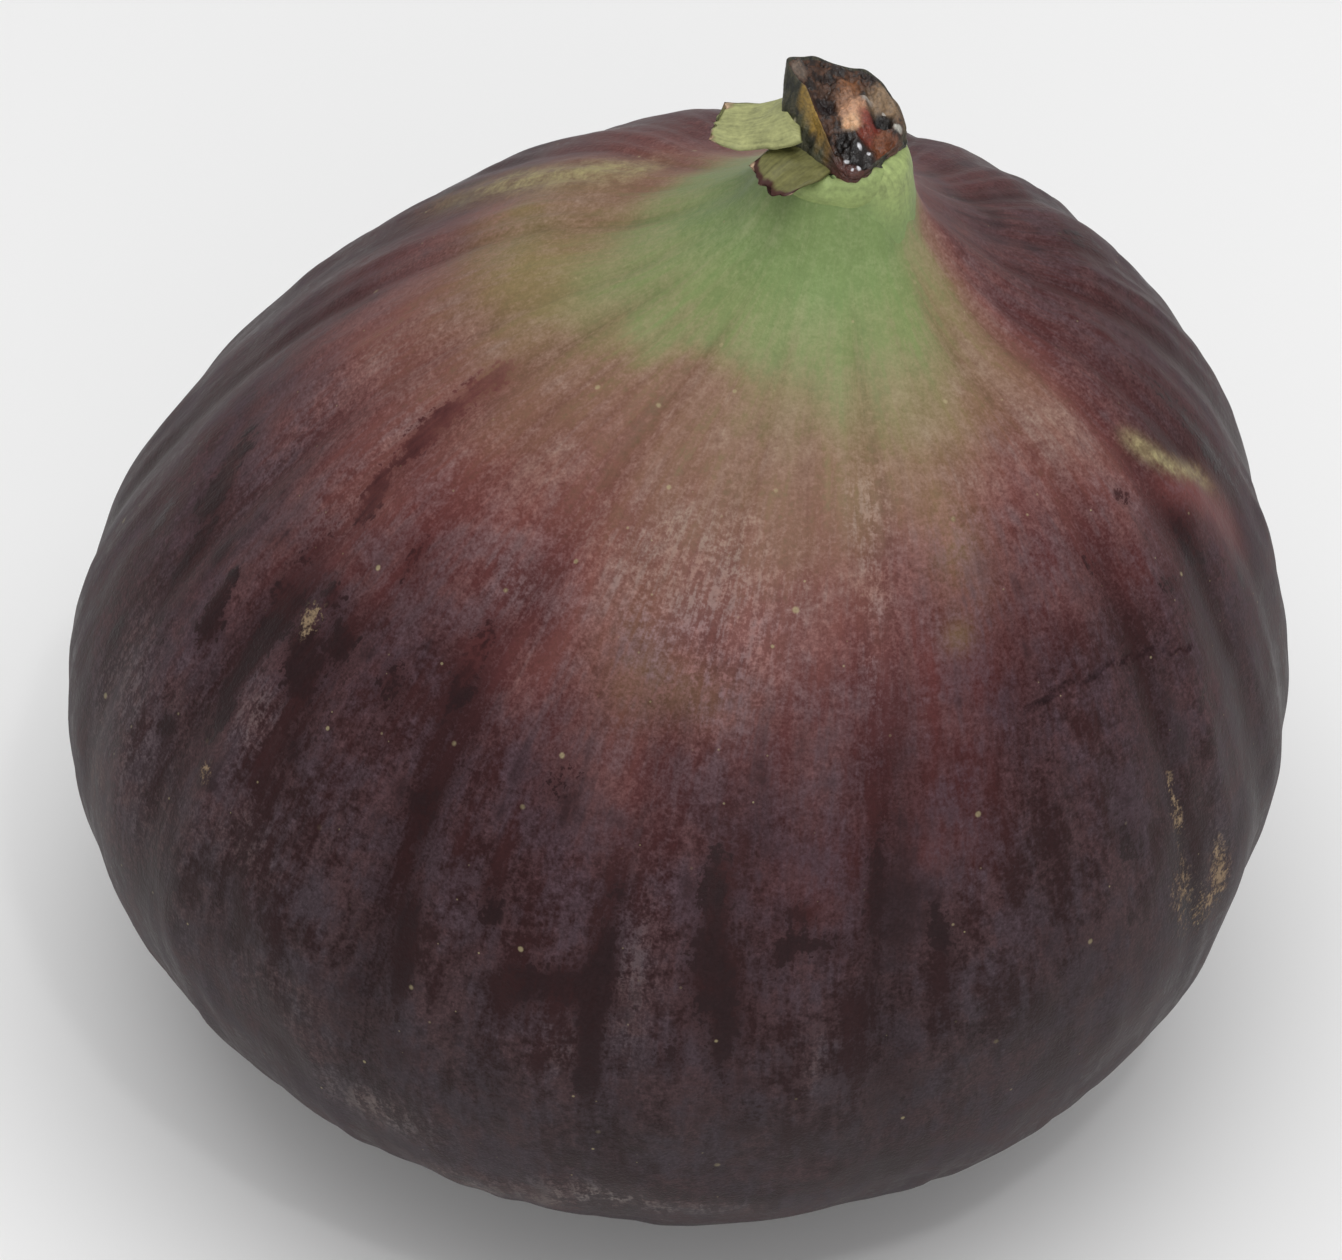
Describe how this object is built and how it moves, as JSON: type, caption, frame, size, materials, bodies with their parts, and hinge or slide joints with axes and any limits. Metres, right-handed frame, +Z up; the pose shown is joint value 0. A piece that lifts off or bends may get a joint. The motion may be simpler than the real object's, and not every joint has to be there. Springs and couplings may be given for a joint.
{
  "type": "fresh fig",
  "caption": "Whole fresh fig, squat and ribbed, purple-black with a green neck, cut stalk stub and torn bracts, resting on its blossom end.",
  "frame": {"origin": "middle of the fig's bounding box at the height of the flat it rests on", "axes": "+Z up through the neck, +X to the picture's right, the side the neck leans to, -Y towards the picture's viewer"},
  "size_m": [0.0588, 0.0564, 0.0574],
  "materials": {
    "fig_skin": "satin purple-black skin with a thin bloom, green at the neck; plastic stands in for fruit skin",
    "stem_cut": "dark dried stalk, moist at the cut",
    "bract_green": "matt yellow-green scales with brown torn edges; plastic stands in for leaf tissue"
  },
  "bodies": {
    "root": {"fruit": "fig_skin", "stem": "stem_cut", "bracts": "bract_green"}
  },
  "joints": []
}
